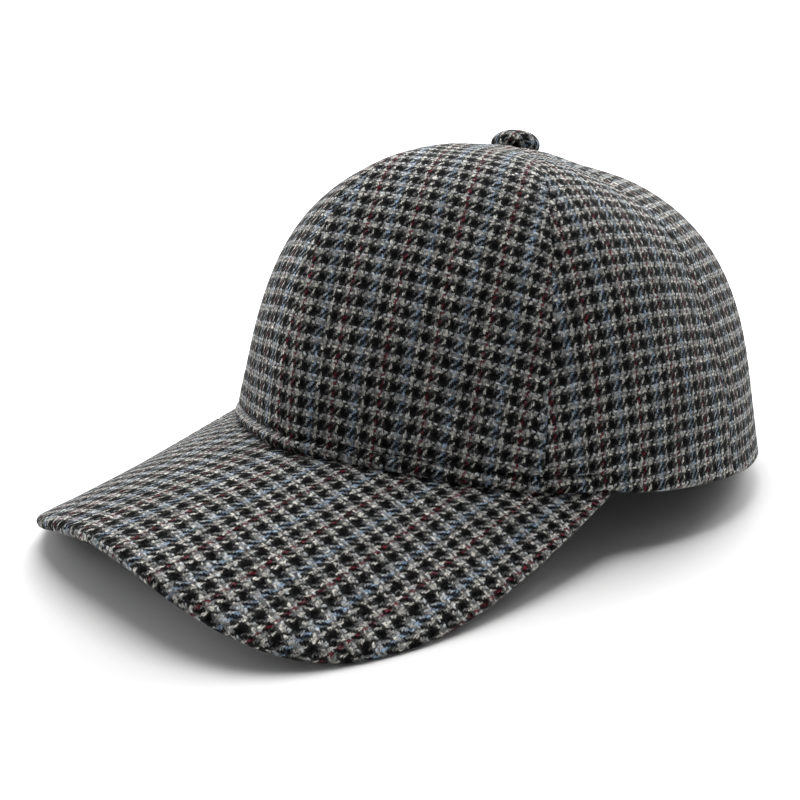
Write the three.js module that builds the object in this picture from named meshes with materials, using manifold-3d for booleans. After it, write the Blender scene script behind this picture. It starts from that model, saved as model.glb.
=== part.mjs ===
// A soft tweed cap: eight cloth gores, a stiff curved peak and a covered button.
// Millimetres, +Z up. In the cap's own frame the hem is level at z = 0, the wearer looks along -Y
// and the wearer's left is +X. The last lines lean the cap back until it rests on z = 0.

import * as THREE from 'three';
import { mergeVertices } from 'three/addons/utils/BufferGeometryUtils.js';
import Module from 'manifold-3d';

const wasm = await Module();
wasm.setup();

const DEGREE = Math.PI / 180;

// Plan of the hem: a broad oval of roundness 2, an ellipse, that is a little pointed at the
// centre front seam.
const HALF_WIDTH = 90.5;
const FRONT_REACH = 101.5;
const BACK_REACH = 101;
const ROUNDNESS = 2;
const FRONT_ROUNDNESS = 1.64;

// Upright sections of the crown. Power 2 is an ellipse and more is squarer in the shoulder;
// leanIn is the share of the reach that the wall has lost at the top.
const CROWN_HEIGHT = 96;
const FRONT_SECTION = { power: 3, leanIn: 0.07 };
const SIDE_SECTION = { power: 2.55, leanIn: 0.16 };
const BACK_SECTION = { power: 2.9, leanIn: 0.02 };

// Behind the peak the hem, a thicker fold, stands out a little from the wall above it.
const HEM_FLARE = 2;
const HEM_FLARE_HEIGHT = 11;

// The gores pile up under the button, so the crown rises a little there.
const TIP_RISE = 2.5;
const TIP_RISE_REACH = 0.2;

// The gores, from the centre front seam to the centre back seam, by azimuth at each seam.
const GORES = [
  { name: 'gore_front', from: 0, to: 45.5 },
  { name: 'gore_fore_side', from: 45.5, to: 90 },
  { name: 'gore_rear_side', from: 90, to: 135 },
  { name: 'gore_back', from: 135, to: 180 },
];
const WALL = 2;
const SEAM_GAP = 0.3;
const GORE_FULLNESS = 1.2;
const GORE_COLUMNS = 8;
const GORE_ROWS = 14;
const TIP_RADIUS = 4;

// Peak: a board bent about a fore-and-aft line, more at its lip than at its root.
const PEAK_END = 57.6;
const PEAK_REACH = 108.3;
const PEAK_SQUARENESS = 3.22;
const PEAK_ROOT_HEIGHT = 0.9;
const PEAK_SLOPE = 14.7;
const PEAK_BEND = 0.0071;
const PEAK_BEND_GROWTH = 0.000044;
const PEAK_THICKNESS = 3.6;
const PEAK_EDGE = 1.8;
const PEAK_COLUMNS = 44;
const PEAK_ROWS = 7;

// The hem lies on the peak a little past the peak's ends, then runs level over some degrees more.
const HEM_ON_PEAK = 62;
const HEM_FADE = 20;
const SIDE = 90;

// The lip's rounded edge starts this share of the thickness below the top, and ends as far above
// the bottom. It takes at most this share of a loop's width near the peak's ends.
const LIP_ROUNDING = 0.4;

// The button is widest at its waist, and its foot is this share of its radius.
const BUTTON_RADIUS = 8.8;
const BUTTON_HEIGHT = 7;
const BUTTON_FOOT = 0.84;
const BUTTON_WAIST = 0.3;
const BUTTON_DOME = 0.9;
const BUTTON_SIDES = 24;
const BUTTON_RINGS = 8;

// What rests is pressed flat by this much where it meets the surface.
const REST_FLAT = 0.5;
const STEEPEST_LEAN = 30;

// Small steps in radians and in millimetres for slopes, steps along a curve, and halvings.
const TURN_STEP = 0.002;
const SLOPE_STEP = 0.01;
const CURVE_STEPS = 400;
const HALVINGS = 40;

// The hem's outer face in plan. Azimuth is 0 at the front and 90 degrees at the wearer's left.
function hemPlan(azimuth) {
  const sideways = Math.sin(azimuth);
  const forward = Math.cos(azimuth);
  const reach = forward > 0 ? FRONT_REACH : BACK_REACH;
  const roundness = ROUNDNESS + (FRONT_ROUNDNESS - ROUNDNESS) * Math.max(forward, 0) ** 2;
  const sum = Math.abs(sideways / HALF_WIDTH) ** roundness + Math.abs(forward / reach) ** roundness;
  const radius = sum ** (-1 / roundness);
  return new THREE.Vector2(radius * sideways, -radius * forward);
}

// The same oval, this far inside the hem's outer face.
function insetPlan(azimuth, depth) {
  const before = hemPlan(azimuth - TURN_STEP);
  const after = hemPlan(azimuth + TURN_STEP);
  const inward = new THREE.Vector2(before.y - after.y, after.x - before.x).normalize();
  return hemPlan(azimuth).addScaledVector(inward, depth);
}

// Top surface of the peak above any point of the plan.
function peakTop(x, y) {
  const ahead = -FRONT_REACH - y;
  const bend = PEAK_BEND + PEAK_BEND_GROWTH * ahead;
  const droop = (1 - Math.sqrt(1 - (bend * x) ** 2)) / bend;
  return PEAK_ROOT_HEIGHT - ahead * Math.tan(PEAK_SLOPE * DEGREE) - droop;
}

// Height of the crown's lower edge, on its outer face or this deep in the wall: on the peak in
// front, and level behind it.
function hemHeight(azimuth, depth) {
  const turn = Math.abs(azimuth) / DEGREE;
  const at = insetPlan(Math.min(turn, HEM_ON_PEAK) * DEGREE, depth);
  const fade = Math.exp(-((Math.max(turn - HEM_ON_PEAK, 0) / HEM_FADE) ** 1.5));
  return (peakTop(at.x, at.y) + SEAM_GAP) * fade;
}

function sectionAt(azimuth) {
  const front = Math.max(Math.cos(azimuth), 0) ** 2;
  const back = Math.max(-Math.cos(azimuth), 0) ** 2;
  const side = Math.sin(azimuth) ** 2;
  const mix = (key) => front * FRONT_SECTION[key] + back * BACK_SECTION[key] + side * SIDE_SECTION[key];
  return { power: mix('power'), leanIn: mix('leanIn') };
}

// The crown's outer surface. Climb is an angle, 0 at the hem and 90 degrees at the top.
function crownPoint(azimuth, climb) {
  const hem = hemPlan(azimuth);
  const { power, leanIn } = sectionAt(azimuth);
  const rise = Math.sin(climb) ** (2 / power);
  const spread = Math.max(Math.cos(climb), 0) ** (2 / power) * (1 - leanIn * rise);
  const tip = TIP_RISE * Math.exp(-((spread / TIP_RISE_REACH) ** 2));
  const z = CROWN_HEIGHT * rise + hemHeight(azimuth, 0) * (1 - rise) + tip;
  const clearOfPeak = THREE.MathUtils.smoothstep(Math.abs(azimuth) / DEGREE, HEM_ON_PEAK, SIDE);
  const flare = HEM_FLARE * clearOfPeak * Math.exp(-CROWN_HEIGHT * rise / HEM_FLARE_HEIGHT);
  const out = spread + flare / hem.length();
  return new THREE.Vector3(hem.x * out, hem.y * out, z);
}

function crownNormal(azimuth, climb) {
  const leftward = crownPoint(azimuth + TURN_STEP, climb);
  const rightward = crownPoint(azimuth - TURN_STEP, climb);
  const lower = crownPoint(azimuth, Math.max(climb - TURN_STEP, 0));
  const upper = crownPoint(azimuth, Math.min(climb + TURN_STEP, Math.PI / 2 - TURN_STEP));
  return leftward.sub(rightward).cross(upper.sub(lower)).normalize();
}

// Values of a parameter that cut a curve into equal lengths.
function evenSteps(curve, first, last, count) {
  const stride = (last - first) / CURVE_STEPS;
  const lengths = [0];
  for (let i = 1; i <= CURVE_STEPS; i += 1) {
    const before = curve(first + stride * (i - 1));
    const after = curve(first + stride * i);
    lengths.push(lengths[i - 1] + before.distanceTo(after));
  }
  const values = [];
  for (let k = 0, i = 0; k <= count; k += 1) {
    const wanted = (lengths[CURVE_STEPS] * k) / count;
    while (i < CURVE_STEPS - 1 && lengths[i + 1] < wanted) i += 1;
    const part = (wanted - lengths[i]) / (lengths[i + 1] - lengths[i]);
    values.push(first + stride * (i + part));
  }
  return values;
}

// A closed body from a ring of point rows: each row of the grid is a closed loop of the same
// number of points, and the first and last loops are capped as strips across the wall.
function loopsToSolid(loops) {
  const around = loops[0].length;
  const half = around / 2;
  const positions = [];
  const triangle = (a, b, c) => [a, b, c].forEach((p) => positions.push(p.x, p.y, p.z));
  const quad = (a, b, c, d) => {
    triangle(a, b, c);
    triangle(a, c, d);
  };
  for (let i = 0; i + 1 < loops.length; i += 1) {
    for (let k = 0; k < around; k += 1) {
      const next = (k + 1) % around;
      quad(loops[i][k], loops[i][next], loops[i + 1][next], loops[i + 1][k]);
    }
  }
  // Point k of the outer half of a loop faces point (around - 1 - k) of the inner half.
  for (const [loop, flip] of [[loops[0], false], [loops[loops.length - 1], true]]) {
    for (let k = 0; k + 1 < half; k += 1) {
      const corners = [loop[k], loop[around - 1 - k], loop[around - 2 - k], loop[k + 1]];
      if (flip) corners.reverse();
      quad(...corners);
    }
  }
  const geometry = new THREE.BufferGeometry();
  geometry.setAttribute('position', new THREE.Float32BufferAttribute(positions, 3));
  return geometry;
}

// One gore: the crown between two seams, full in the middle and drawn in at the seams.
function goreGeometry(from, to) {
  const middle = (from + to) / 2;
  const top = climbAtRadius(middle, TIP_RADIUS);
  const climbs = evenSteps((climb) => crownPoint(middle, climb), 0, top, GORE_ROWS);
  const loops = climbs.map((climb, row) => {
    const outer = [];
    const inner = [];
    for (let column = 0; column <= GORE_COLUMNS; column += 1) {
      const across = column / GORE_COLUMNS;
      const seam = crownPoint(across < 0.5 ? from : to, climb);
      const clear = SEAM_GAP / 2 / Math.hypot(seam.x, seam.y);
      const azimuth = from + clear + (to - from - 2 * clear) * across;
      const normal = crownNormal(azimuth, climb);
      const bulge = (Math.sin(Math.PI * across) - 0.5) * Math.sin((Math.PI * row) / GORE_ROWS);
      const point = crownPoint(azimuth, climb).addScaledVector(normal, GORE_FULLNESS * bulge);
      const inside = point.clone().addScaledVector(normal, -WALL);
      if (row === 0) inside.z = hemHeight(azimuth, WALL);
      outer.push(point);
      inner.unshift(inside);
    }
    return outer.concat(inner);
  });
  return loopsToSolid(loops);
}

// The climb at which the crown's outer surface comes this near to its axis.
function climbAtRadius(azimuth, radius) {
  let low = 0;
  let high = Math.PI / 2;
  for (let i = 0; i < HALVINGS; i += 1) {
    const climb = (low + high) / 2;
    const point = crownPoint(azimuth, climb);
    if (Math.hypot(point.x, point.y) > radius) low = climb;
    else high = climb;
  }
  return low;
}

// The peak's lip in plan: a squared half oval, from its left end round to its right end.
function lipPlan(turn) {
  const end = hemPlan(PEAK_END * DEGREE);
  const bow = 2 / PEAK_SQUARENESS;
  const x = end.x * Math.sign(Math.cos(turn)) * Math.abs(Math.cos(turn)) ** bow;
  const y = end.y - PEAK_REACH * Math.abs(Math.sin(turn)) ** bow;
  return new THREE.Vector2(x, y);
}

function peakPoint(x, y, depth) {
  const slopeX = (peakTop(x + SLOPE_STEP, y) - peakTop(x - SLOPE_STEP, y)) / (2 * SLOPE_STEP);
  const slopeY = (peakTop(x, y + SLOPE_STEP) - peakTop(x, y - SLOPE_STEP)) / (2 * SLOPE_STEP);
  const normal = new THREE.Vector3(-slopeX, -slopeY, 1).normalize();
  return new THREE.Vector3(x, y, peakTop(x, y)).addScaledVector(normal, -depth);
}

// The peak: loops from its right end to its left end, each one round the board's section, from
// the inner face of the crown's hem to the lip.
function peakGeometry() {
  const turns = evenSteps(lipPlan, Math.PI, 0, PEAK_COLUMNS);
  const loops = turns.map((turn, column) => {
    const azimuth = PEAK_END * DEGREE * ((2 * column) / PEAK_COLUMNS - 1);
    const root = insetPlan(azimuth, WALL);
    const lip = lipPlan(turn);
    const width = root.distanceTo(lip);
    const edge = Math.min(PEAK_EDGE, width * LIP_ROUNDING);
    const upper = [];
    const lower = [];
    for (let row = 0; row <= PEAK_ROWS; row += 1) {
      const at = root.clone().lerp(lip, ((width - edge) / width) * (row / PEAK_ROWS));
      upper.push(peakPoint(at.x, at.y, 0));
      lower.unshift(peakPoint(at.x, at.y, PEAK_THICKNESS));
    }
    upper.push(peakPoint(lip.x, lip.y, PEAK_THICKNESS * LIP_ROUNDING));
    lower.unshift(peakPoint(lip.x, lip.y, PEAK_THICKNESS * (1 - LIP_ROUNDING)));
    return upper.concat(lower);
  });
  return loopsToSolid(loops);
}

// The button: a low dome with a rounded foot.
function buttonGeometry() {
  const foot = BUTTON_RADIUS * BUTTON_FOOT;
  const waist = BUTTON_HEIGHT * BUTTON_WAIST;
  const profile = [new THREE.Vector2(0, 0), new THREE.Vector2(foot, 0)];
  for (let k = 0; k <= BUTTON_RINGS; k += 1) {
    const turn = (k / BUTTON_RINGS) * (Math.PI / 2);
    const radius = k === BUTTON_RINGS ? 0 : BUTTON_RADIUS * Math.cos(turn) ** BUTTON_DOME;
    profile.push(new THREE.Vector2(radius, waist + (BUTTON_HEIGHT - waist) * Math.sin(turn)));
  }
  const geometry = new THREE.LatheGeometry(profile, BUTTON_SIDES);
  geometry.rotateX(Math.PI / 2);
  return geometry;
}

function toSolid(geometry) {
  const bare = geometry.clone();
  for (const name of Object.keys(bare.attributes)) {
    if (name !== 'position') bare.deleteAttribute(name);
  }
  const merged = mergeVertices(bare, 1e-4);
  const mesh = new wasm.Mesh({
    numProp: 3,
    vertProperties: new Float32Array(merged.attributes.position.array),
    triVerts: new Uint32Array(merged.index.array),
  });
  return new wasm.Manifold(mesh);
}

function toGeometry(solid) {
  const mesh = solid.getMesh();
  const geometry = new THREE.BufferGeometry();
  geometry.setAttribute('position', new THREE.BufferAttribute(mesh.vertProperties, 3));
  geometry.setIndex(new THREE.BufferAttribute(mesh.triVerts, 1));
  return geometry;
}

const tweed = new THREE.MeshStandardMaterial({ color: 0x6e6d6a, roughness: 0.95, metalness: 0 });

const pieces = new Map();
for (const gore of GORES) {
  pieces.set(`${gore.name}_left`, goreGeometry(gore.from * DEGREE, gore.to * DEGREE));
  pieces.set(`${gore.name}_right`, goreGeometry(-gore.to * DEGREE, -gore.from * DEGREE));
}
pieces.set('peak', peakGeometry());
pieces.set('button', buttonGeometry().translate(0, 0, CROWN_HEIGHT + TIP_RISE + SEAM_GAP));

// Lowest height of a piece once the cap is leant back by an angle about the x axis.
function lowestPoint(name, lean) {
  const turned = pieces.get(name).clone().rotateX(-lean);
  turned.computeBoundingBox();
  return turned.boundingBox.min.z;
}

// The lean at which the back of the hem and the two sides of the peak are equally low.
function restingLean() {
  let low = 0;
  let high = STEEPEST_LEAN * DEGREE;
  for (let i = 0; i < HALVINGS; i += 1) {
    const lean = (low + high) / 2;
    if (lowestPoint('peak', lean) < lowestPoint('gore_back_left', lean)) low = lean;
    else high = lean;
  }
  return low;
}

const lean = restingLean();
const lowest = lowestPoint('gore_back_left', lean);

const cap = new THREE.Group();
const capInFrame = new THREE.Group();
capInFrame.rotation.x = -lean;
capInFrame.position.z = -lowest - REST_FLAT;
cap.add(capInFrame);
capInFrame.updateMatrixWorld(true);

// The surface's own block, in the cap's frame, takes off what lies below z = 0.
const BLOCK = 600;
const block = new THREE.BoxGeometry(BLOCK, BLOCK, BLOCK).translate(0, 0, -BLOCK / 2);
block.applyMatrix4(capInFrame.matrixWorld.clone().invert());
const surface = toSolid(block);

for (const [name, geometry] of pieces) {
  const resting = toGeometry(toSolid(geometry).subtract(surface));
  const mesh = new THREE.Mesh(resting, tweed.clone());
  mesh.name = name;
  capInFrame.add(mesh);
}

// The origin is under the middle of the cap's box.
const box = new THREE.Box3().setFromObject(cap, true);
capInFrame.position.y = -(box.min.y + box.max.y) / 2;

export default cap;
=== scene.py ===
# %% [markdown]
# # A tweed cap
#
# A soft round cap: eight cloth gores sewn together under a covered button, and a stiff curved peak
# at the front, all of one fine wool tweed in a small check. The cap rests on a table on the back of
# its hem and on both sides of its peak, so it leans back by a few degrees.
#
# The solids are loaded first. The finished meshes are in metres, but the shapes are worked out in
# millimetres, with the sizes that the solids have, because a cap is cut in millimetres.

# %% The frame
import math
from functools import partialmethod

import bpy
import numpy as np
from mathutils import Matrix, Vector


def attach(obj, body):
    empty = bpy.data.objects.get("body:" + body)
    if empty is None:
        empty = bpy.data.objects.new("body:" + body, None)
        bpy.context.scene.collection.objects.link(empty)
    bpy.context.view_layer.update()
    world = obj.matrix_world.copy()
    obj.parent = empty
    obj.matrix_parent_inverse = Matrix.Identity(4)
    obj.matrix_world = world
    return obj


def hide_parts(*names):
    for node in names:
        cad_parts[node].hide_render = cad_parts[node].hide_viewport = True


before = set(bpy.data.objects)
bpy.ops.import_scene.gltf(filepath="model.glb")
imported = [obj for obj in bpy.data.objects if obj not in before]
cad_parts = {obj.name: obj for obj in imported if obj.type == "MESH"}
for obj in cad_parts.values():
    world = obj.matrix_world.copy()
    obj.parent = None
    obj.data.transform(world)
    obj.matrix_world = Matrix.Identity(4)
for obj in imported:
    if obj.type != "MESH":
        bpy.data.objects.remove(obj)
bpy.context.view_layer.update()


# %% [markdown]
# ## The camera
#
# The photograph was taken from close by, to the wearer's left of the peak and a little above the
# table. A camera could be placed by eye. Here its place, its turn and its lens come from fitting
# the outline, the seams and the hem of the cap to the photograph.

# %% The camera
LENS_MM = 37.782
SENSOR_MM = 36
CAMERA_PLACE = (0.18052, -0.21658, 0.10180)
CAMERA_TURN_DEGREES = (74.910, 0.569, 42.603)

camera_data = bpy.data.cameras.new("camera")
camera_data.lens = LENS_MM
camera_data.sensor_width = SENSOR_MM
camera_data.clip_start = 0.01
camera = bpy.data.objects.new("camera", camera_data)
camera.location = CAMERA_PLACE
camera.rotation_euler = [math.radians(angle) for angle in CAMERA_TURN_DEGREES]
bpy.context.scene.collection.objects.link(camera)
bpy.context.scene.camera = camera
print("camera", round(camera.location.length * 1000), "mm from the middle of the cap's base")

# %% [markdown]
# ## The crown's surface
#
# The real crown takes its shape from the pattern of its gores and from the head. It could be
# sculpted, or blown up by a cloth simulation. It is made from a rule here, because the solids
# have the same rule: an oval hem, and upright sections that run from the hem to the top. The
# functions take whole arrays, so a grid of points costs one call.
#
# A point of the crown is named by its azimuth, 0 at the front and positive towards the wearer's
# left, and by its climb, 0 at the hem and a quarter turn at the top.

# %% Sizes of the crown in millimetres
HALF_WIDTH = 90.5
FRONT_REACH = 101.5
BACK_REACH = 101.0
ROUNDNESS = 2.0
FRONT_ROUNDNESS = 1.64
CROWN_HEIGHT = 96.0
FRONT_SECTION = (3.0, 0.07)
SIDE_SECTION = (2.55, 0.16)
BACK_SECTION = (2.9, 0.02)
HEM_FLARE = 2.0
HEM_FLARE_HEIGHT = 11.0
TIP_RISE = 2.5
TIP_RISE_REACH = 0.2
SEAM_GAP = 0.3
HEM_ON_PEAK = 62.0
HEM_FADE = 20.0
HEM_FADE_POWER = 1.5
HEM_HANG = 2.3
HANG_FULL = 62.0
HANG_END = 91.0
HEM_LIFT = 0.9
LIFT_MIDDLE = 118.0
LIFT_WIDTH = 15.0
SIDE = 90.0

PEAK_END = 57.6
PEAK_REACH = 108.3
PEAK_SQUARENESS = 3.22
PEAK_ROOT_HEIGHT = 0.9
PEAK_SLOPE = 14.7
PEAK_BEND = 0.0071
PEAK_BEND_GROWTH = 0.000044
PEAK_THICKNESS = 3.6

LEAN_DEGREES = 7.0915
SHIFT_BACK = 27.8255
SHIFT_UP = 12.2158
TURN_STEP = 0.002
MM = 0.001


# %% The crown's rule
def hem_plan(azimuth):
    """The hem's outer face in plan: an oval that is more pointed in front than an ellipse."""
    sideways, forward = np.sin(azimuth), np.cos(azimuth)
    reach = np.where(forward > 0, FRONT_REACH, BACK_REACH)
    roundness = ROUNDNESS + (FRONT_ROUNDNESS - ROUNDNESS) * np.maximum(forward, 0) ** 2
    total = np.abs(sideways / HALF_WIDTH) ** roundness + np.abs(forward / reach) ** roundness
    radius = total ** (-1 / roundness)
    return np.stack([radius * sideways, -radius * forward], -1)


def peak_top(x, y):
    """Height of the peak's upper face above any point of the plan."""
    ahead = -FRONT_REACH - y
    bend = PEAK_BEND + PEAK_BEND_GROWTH * ahead
    droop = (1 - np.sqrt(1 - (bend * x) ** 2)) / bend
    return PEAK_ROOT_HEIGHT - ahead * math.tan(math.radians(PEAK_SLOPE)) - droop


def smooth(value, low, high):
    """0 below low, 1 above high and a soft step between."""
    part = np.clip((value - low) / (high - low), 0, 1)
    return part * part * (3 - 2 * part)


def hem_height(azimuth):
    """The hem lies on the peak in front, hangs a little beside its end and runs level behind it."""
    turn = np.abs(np.degrees(azimuth))
    at = hem_plan(np.radians(np.minimum(turn, HEM_ON_PEAK)))
    fade = np.exp(-((np.maximum(turn - HEM_ON_PEAK, 0) / HEM_FADE) ** HEM_FADE_POWER))
    hang = HEM_HANG * smooth(turn, PEAK_END, HANG_FULL) * (1 - smooth(turn, HANG_FULL, HANG_END))
    lift = HEM_LIFT * np.exp(-(((turn - LIFT_MIDDLE) / LIFT_WIDTH) ** 2))
    return (peak_top(at[..., 0], at[..., 1]) + SEAM_GAP) * fade - hang + lift


def crown_point(azimuth, climb):
    """A point of the crown's outer face, in the cap's own level frame."""
    hem = hem_plan(azimuth)
    front = np.maximum(np.cos(azimuth), 0) ** 2
    back = np.maximum(-np.cos(azimuth), 0) ** 2
    side = np.sin(azimuth) ** 2
    power, lean_in = (
        front * FRONT_SECTION[k] + back * BACK_SECTION[k] + side * SIDE_SECTION[k] for k in (0, 1)
    )
    rise = np.sin(climb) ** (2 / power)
    spread = np.maximum(np.cos(climb), 0) ** (2 / power) * (1 - lean_in * rise)
    tip = TIP_RISE * np.exp(-((spread / TIP_RISE_REACH) ** 2))
    z = CROWN_HEIGHT * rise + hem_height(azimuth) * (1 - rise) + tip
    clear_of_peak = smooth(np.abs(np.degrees(azimuth)), HEM_ON_PEAK, SIDE)
    flare = HEM_FLARE * clear_of_peak * np.exp(-CROWN_HEIGHT * rise / HEM_FLARE_HEIGHT)
    out = spread + flare / np.linalg.norm(hem, axis=-1)
    return np.stack([hem[..., 0] * out, hem[..., 1] * out, z], -1)


def crown_normal(azimuth, climb):
    """Which way the crown faces there, from points close by."""
    along = crown_point(azimuth + TURN_STEP, climb) - crown_point(azimuth - TURN_STEP, climb)
    lower = crown_point(azimuth, np.maximum(climb - TURN_STEP, 0))
    upper = crown_point(azimuth, np.minimum(climb + TURN_STEP, math.pi / 2 - TURN_STEP))
    normal = np.cross(along, upper - lower)
    return normal / np.linalg.norm(normal, axis=-1, keepdims=True)


def to_world(points):
    """From the cap's own level frame in mm to the table, in metres, pressed flat where it rests."""
    lean = math.radians(LEAN_DEGREES)
    x, y, z = points[..., 0], points[..., 1], points[..., 2]
    back = y * math.cos(lean) + z * math.sin(lean) + SHIFT_BACK
    up = -y * math.sin(lean) + z * math.cos(lean) + SHIFT_UP
    return np.stack([x, back, np.maximum(up, 0)], -1) * MM


azimuths = np.radians(np.arange(-180, 181))
hem_line = crown_point(azimuths, np.zeros_like(azimuths))
print("hem is", round(float(np.linalg.norm(np.diff(hem_line, axis=0), axis=1).sum())), "mm round")

# %% [markdown]
# ## Soft dents
#
# No cloth crown is a perfect shape: it has shallow dents where it was handled and packed. A noise
# texture could push the mesh about, but a few long sine waves with fixed directions are as soft,
# are the same on both sides of a seam, and can't leave a crease. Two shallow hollows that the
# photograph shows, one behind the button and one at the front of the top, are added to them.

# %% Soft dents
DENT_DEPTH = 0.55
DENT_WAVES = 14
DENT_SHORTEST = 38.0
DENT_LONGEST = 95.0
HOLLOWS = (((26.0, 9.0, 94.0), 21.0, 2.1), ((-10.0, -49.0, 90.5), 15.0, 0.9))

dent_dice = np.random.default_rng(7)
dent_aim = dent_dice.normal(size=(DENT_WAVES, 3))
dent_aim /= np.linalg.norm(dent_aim, axis=1, keepdims=True)
dent_length = dent_dice.uniform(DENT_SHORTEST, DENT_LONGEST, DENT_WAVES)
dent_start = dent_dice.uniform(0, 2 * math.pi, DENT_WAVES)


def dents(points):
    """How far each point is pushed out, in millimetres."""
    waves = np.sin((points @ dent_aim.T) * (2 * math.pi / dent_length) + dent_start)
    pushed = DENT_DEPTH * waves.sum(-1) / math.sqrt(DENT_WAVES / 2)
    for place, radius, depth in HOLLOWS:
        away = np.linalg.norm(points - np.array(place), axis=-1)
        pushed = pushed - depth * np.exp(-((away / radius) ** 2))
    return pushed


sample = dents(hem_line)
print("dents along the hem, in mm:", sample.min().round(2), "to", sample.max().round(2))

# %% [markdown]
# ## Flattening a gore
#
# Tweed is woven flat, and each gore is cut with its threads along its middle. On the finished cap
# the threads of a gore stay parallel, so the check meets its neighbour at an angle at the seams.
# A pattern mapped round the crown like the lines of a globe would look wrong at once.
#
# A UV unwrap could do it. This one is the pattern cutter's way: a net of points on the gore is
# laid flat, and then each link is pulled or pushed a little towards its true length, many times.

# %% Flattening a gore
NET_ROWS = 37
NET_COLUMNS = 25
PULLS = 900
PULL_SHARE = 0.8
UPRIGHT_ROW = NET_ROWS * 3 // 4
NET_WALK = 400


def flat_net(points):
    """Flat places in mm, across and up, of a net of points on a curved cloth."""
    rows, columns, _ = points.shape
    middle = columns // 2
    across = np.linalg.norm(np.diff(points, axis=1), axis=2)
    across = np.concatenate([np.zeros((rows, 1)), np.cumsum(across, axis=1)], axis=1)
    across -= across[:, middle : middle + 1]
    climb = np.linalg.norm(np.diff(points[:, middle], axis=0), axis=1)
    climb = np.concatenate([[0], np.cumsum(climb)])
    flat = np.stack([across, np.repeat(climb[:, None], columns, 1)], -1).reshape(-1, 2)
    number = np.arange(rows * columns).reshape(rows, columns)
    pairs = (
        (number[:, :-1], number[:, 1:]),
        (number[:-1], number[1:]),
        (number[:-1, :-1], number[1:, 1:]),
        (number[:-1, 1:], number[1:, :-1]),
    )
    links = np.concatenate([np.stack([a.ravel(), b.ravel()], 1) for a, b in pairs])
    solid = points.reshape(-1, 3)
    true = np.linalg.norm(solid[links[:, 0]] - solid[links[:, 1]], axis=1)
    share = 2 * PULL_SHARE / np.bincount(links.ravel())[:, None]
    for _ in range(PULLS):
        reach = flat[links[:, 1]] - flat[links[:, 0]]
        length = np.linalg.norm(reach, axis=1)
        pull = (0.5 * (length - true) / length)[:, None] * reach
        move = np.zeros_like(flat)
        np.add.at(move, links[:, 0], pull)
        np.add.at(move, links[:, 1], -pull)
        flat = flat + share * move
    flat = flat.reshape(rows, columns, 2)
    flat -= flat[0, middle]
    turn = math.atan2(*flat[UPRIGHT_ROW, middle])
    turned = np.array([[math.cos(turn), -math.sin(turn)], [math.sin(turn), math.cos(turn)]])
    return flat @ turned.T


def walk_length(points):
    """Length walked along the first axis of a grid of points."""
    steps = np.linalg.norm(np.diff(points, axis=0), axis=-1)
    return np.concatenate([np.zeros_like(steps[:1]), np.cumsum(steps, axis=0)])


print("each gore is laid flat by a net of", NET_ROWS, "x", NET_COLUMNS, "points")

# %% [markdown]
# ## The check, counted in threads
#
# The cloth is a 2/2 twill: each thread goes over two and under two, and the step moves over by one
# thread in each row. Its warp repeats every 28 threads, 13.03 mm, with one pale blue and one dark
# red stripe among black, grey and cream ones, and its weft repeats every 8 threads, 5.04 mm. The
# gores store their place in the cloth as thread counts in a UV map, so one material serves all.
#
# Each gore was cut from another place of the cloth: its offsets say which thread runs up its
# middle, and its lean and slope say how far the threads stray from straight up and across.

# %% Threads and the gores' cuts
WARP_THREADS = 28
WEFT_THREADS = 8
WARP_PITCH = 13.03 / WARP_THREADS
WEFT_PITCH = 5.04 / WEFT_THREADS
BLUE_THREAD = 27.0
RED_THREAD = 13.0
FRONT_SEAM = 45.5


def cloth_cut(stripe, aside, weft, lean=0, slope=0):
    """A stripe lies this many mm aside of a piece's middle, where a weft thread crosses it."""
    return {"warp": stripe - aside / WARP_PITCH, "weft": weft, "lean": lean, "slope": slope}


GORES = (
    ("gore_front_left", 0, FRONT_SEAM, cloth_cut(BLUE_THREAD, 9.2, 0.15, slope=0.08)),
    ("gore_fore_side_left", FRONT_SEAM, 90, cloth_cut(BLUE_THREAD, 1.2, 0.7, 0.0875, -0.19)),
    ("gore_rear_side_left", 90, 135, cloth_cut(RED_THREAD, 0, 3)),
    ("gore_back_left", 135, 180, cloth_cut(BLUE_THREAD, 0, 1)),
    ("gore_front_right", -FRONT_SEAM, 0, cloth_cut(RED_THREAD, 0, 2)),
    ("gore_fore_side_right", -90, -FRONT_SEAM, cloth_cut(BLUE_THREAD, 0, 6)),
    ("gore_rear_side_right", -135, -90, cloth_cut(RED_THREAD, 0, 4)),
    ("gore_back_right", -180, -135, cloth_cut(BLUE_THREAD, 0, 7)),
)


def thread_count(across, up, cut):
    """Thread numbers, warp and weft, of places on the flat cloth in mm."""
    warp = (across + cut["lean"] * up) / WARP_PITCH + cut["warp"]
    weft = (up + cut["slope"] * across) / WEFT_PITCH + cut["weft"]
    return np.stack([warp, weft], -1)


print("warp threads are", round(WARP_PITCH, 3), "mm apart, weft threads", round(WEFT_PITCH, 3))

# %% [markdown]
# ## A gore
#
# A gore is cloth about 1 mm thick. Its edges turn under into the seams, where the allowances are
# pressed open inside and lift the cloth beside the seam by a hair. At the hem the cloth is
# turned up inside. Over the peak a row of stitches holds the hem down 5 mm above its edge. The two
# front gores are flatter than the others and meet in a soft ridge.
#
# A flat panel with a Solidify modifier would lack all of this, so the gore is a grid with an outer
# and an inner face. Rows lie close at the hem and columns close at the seams, where the form is
# small, and wide apart elsewhere.

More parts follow.
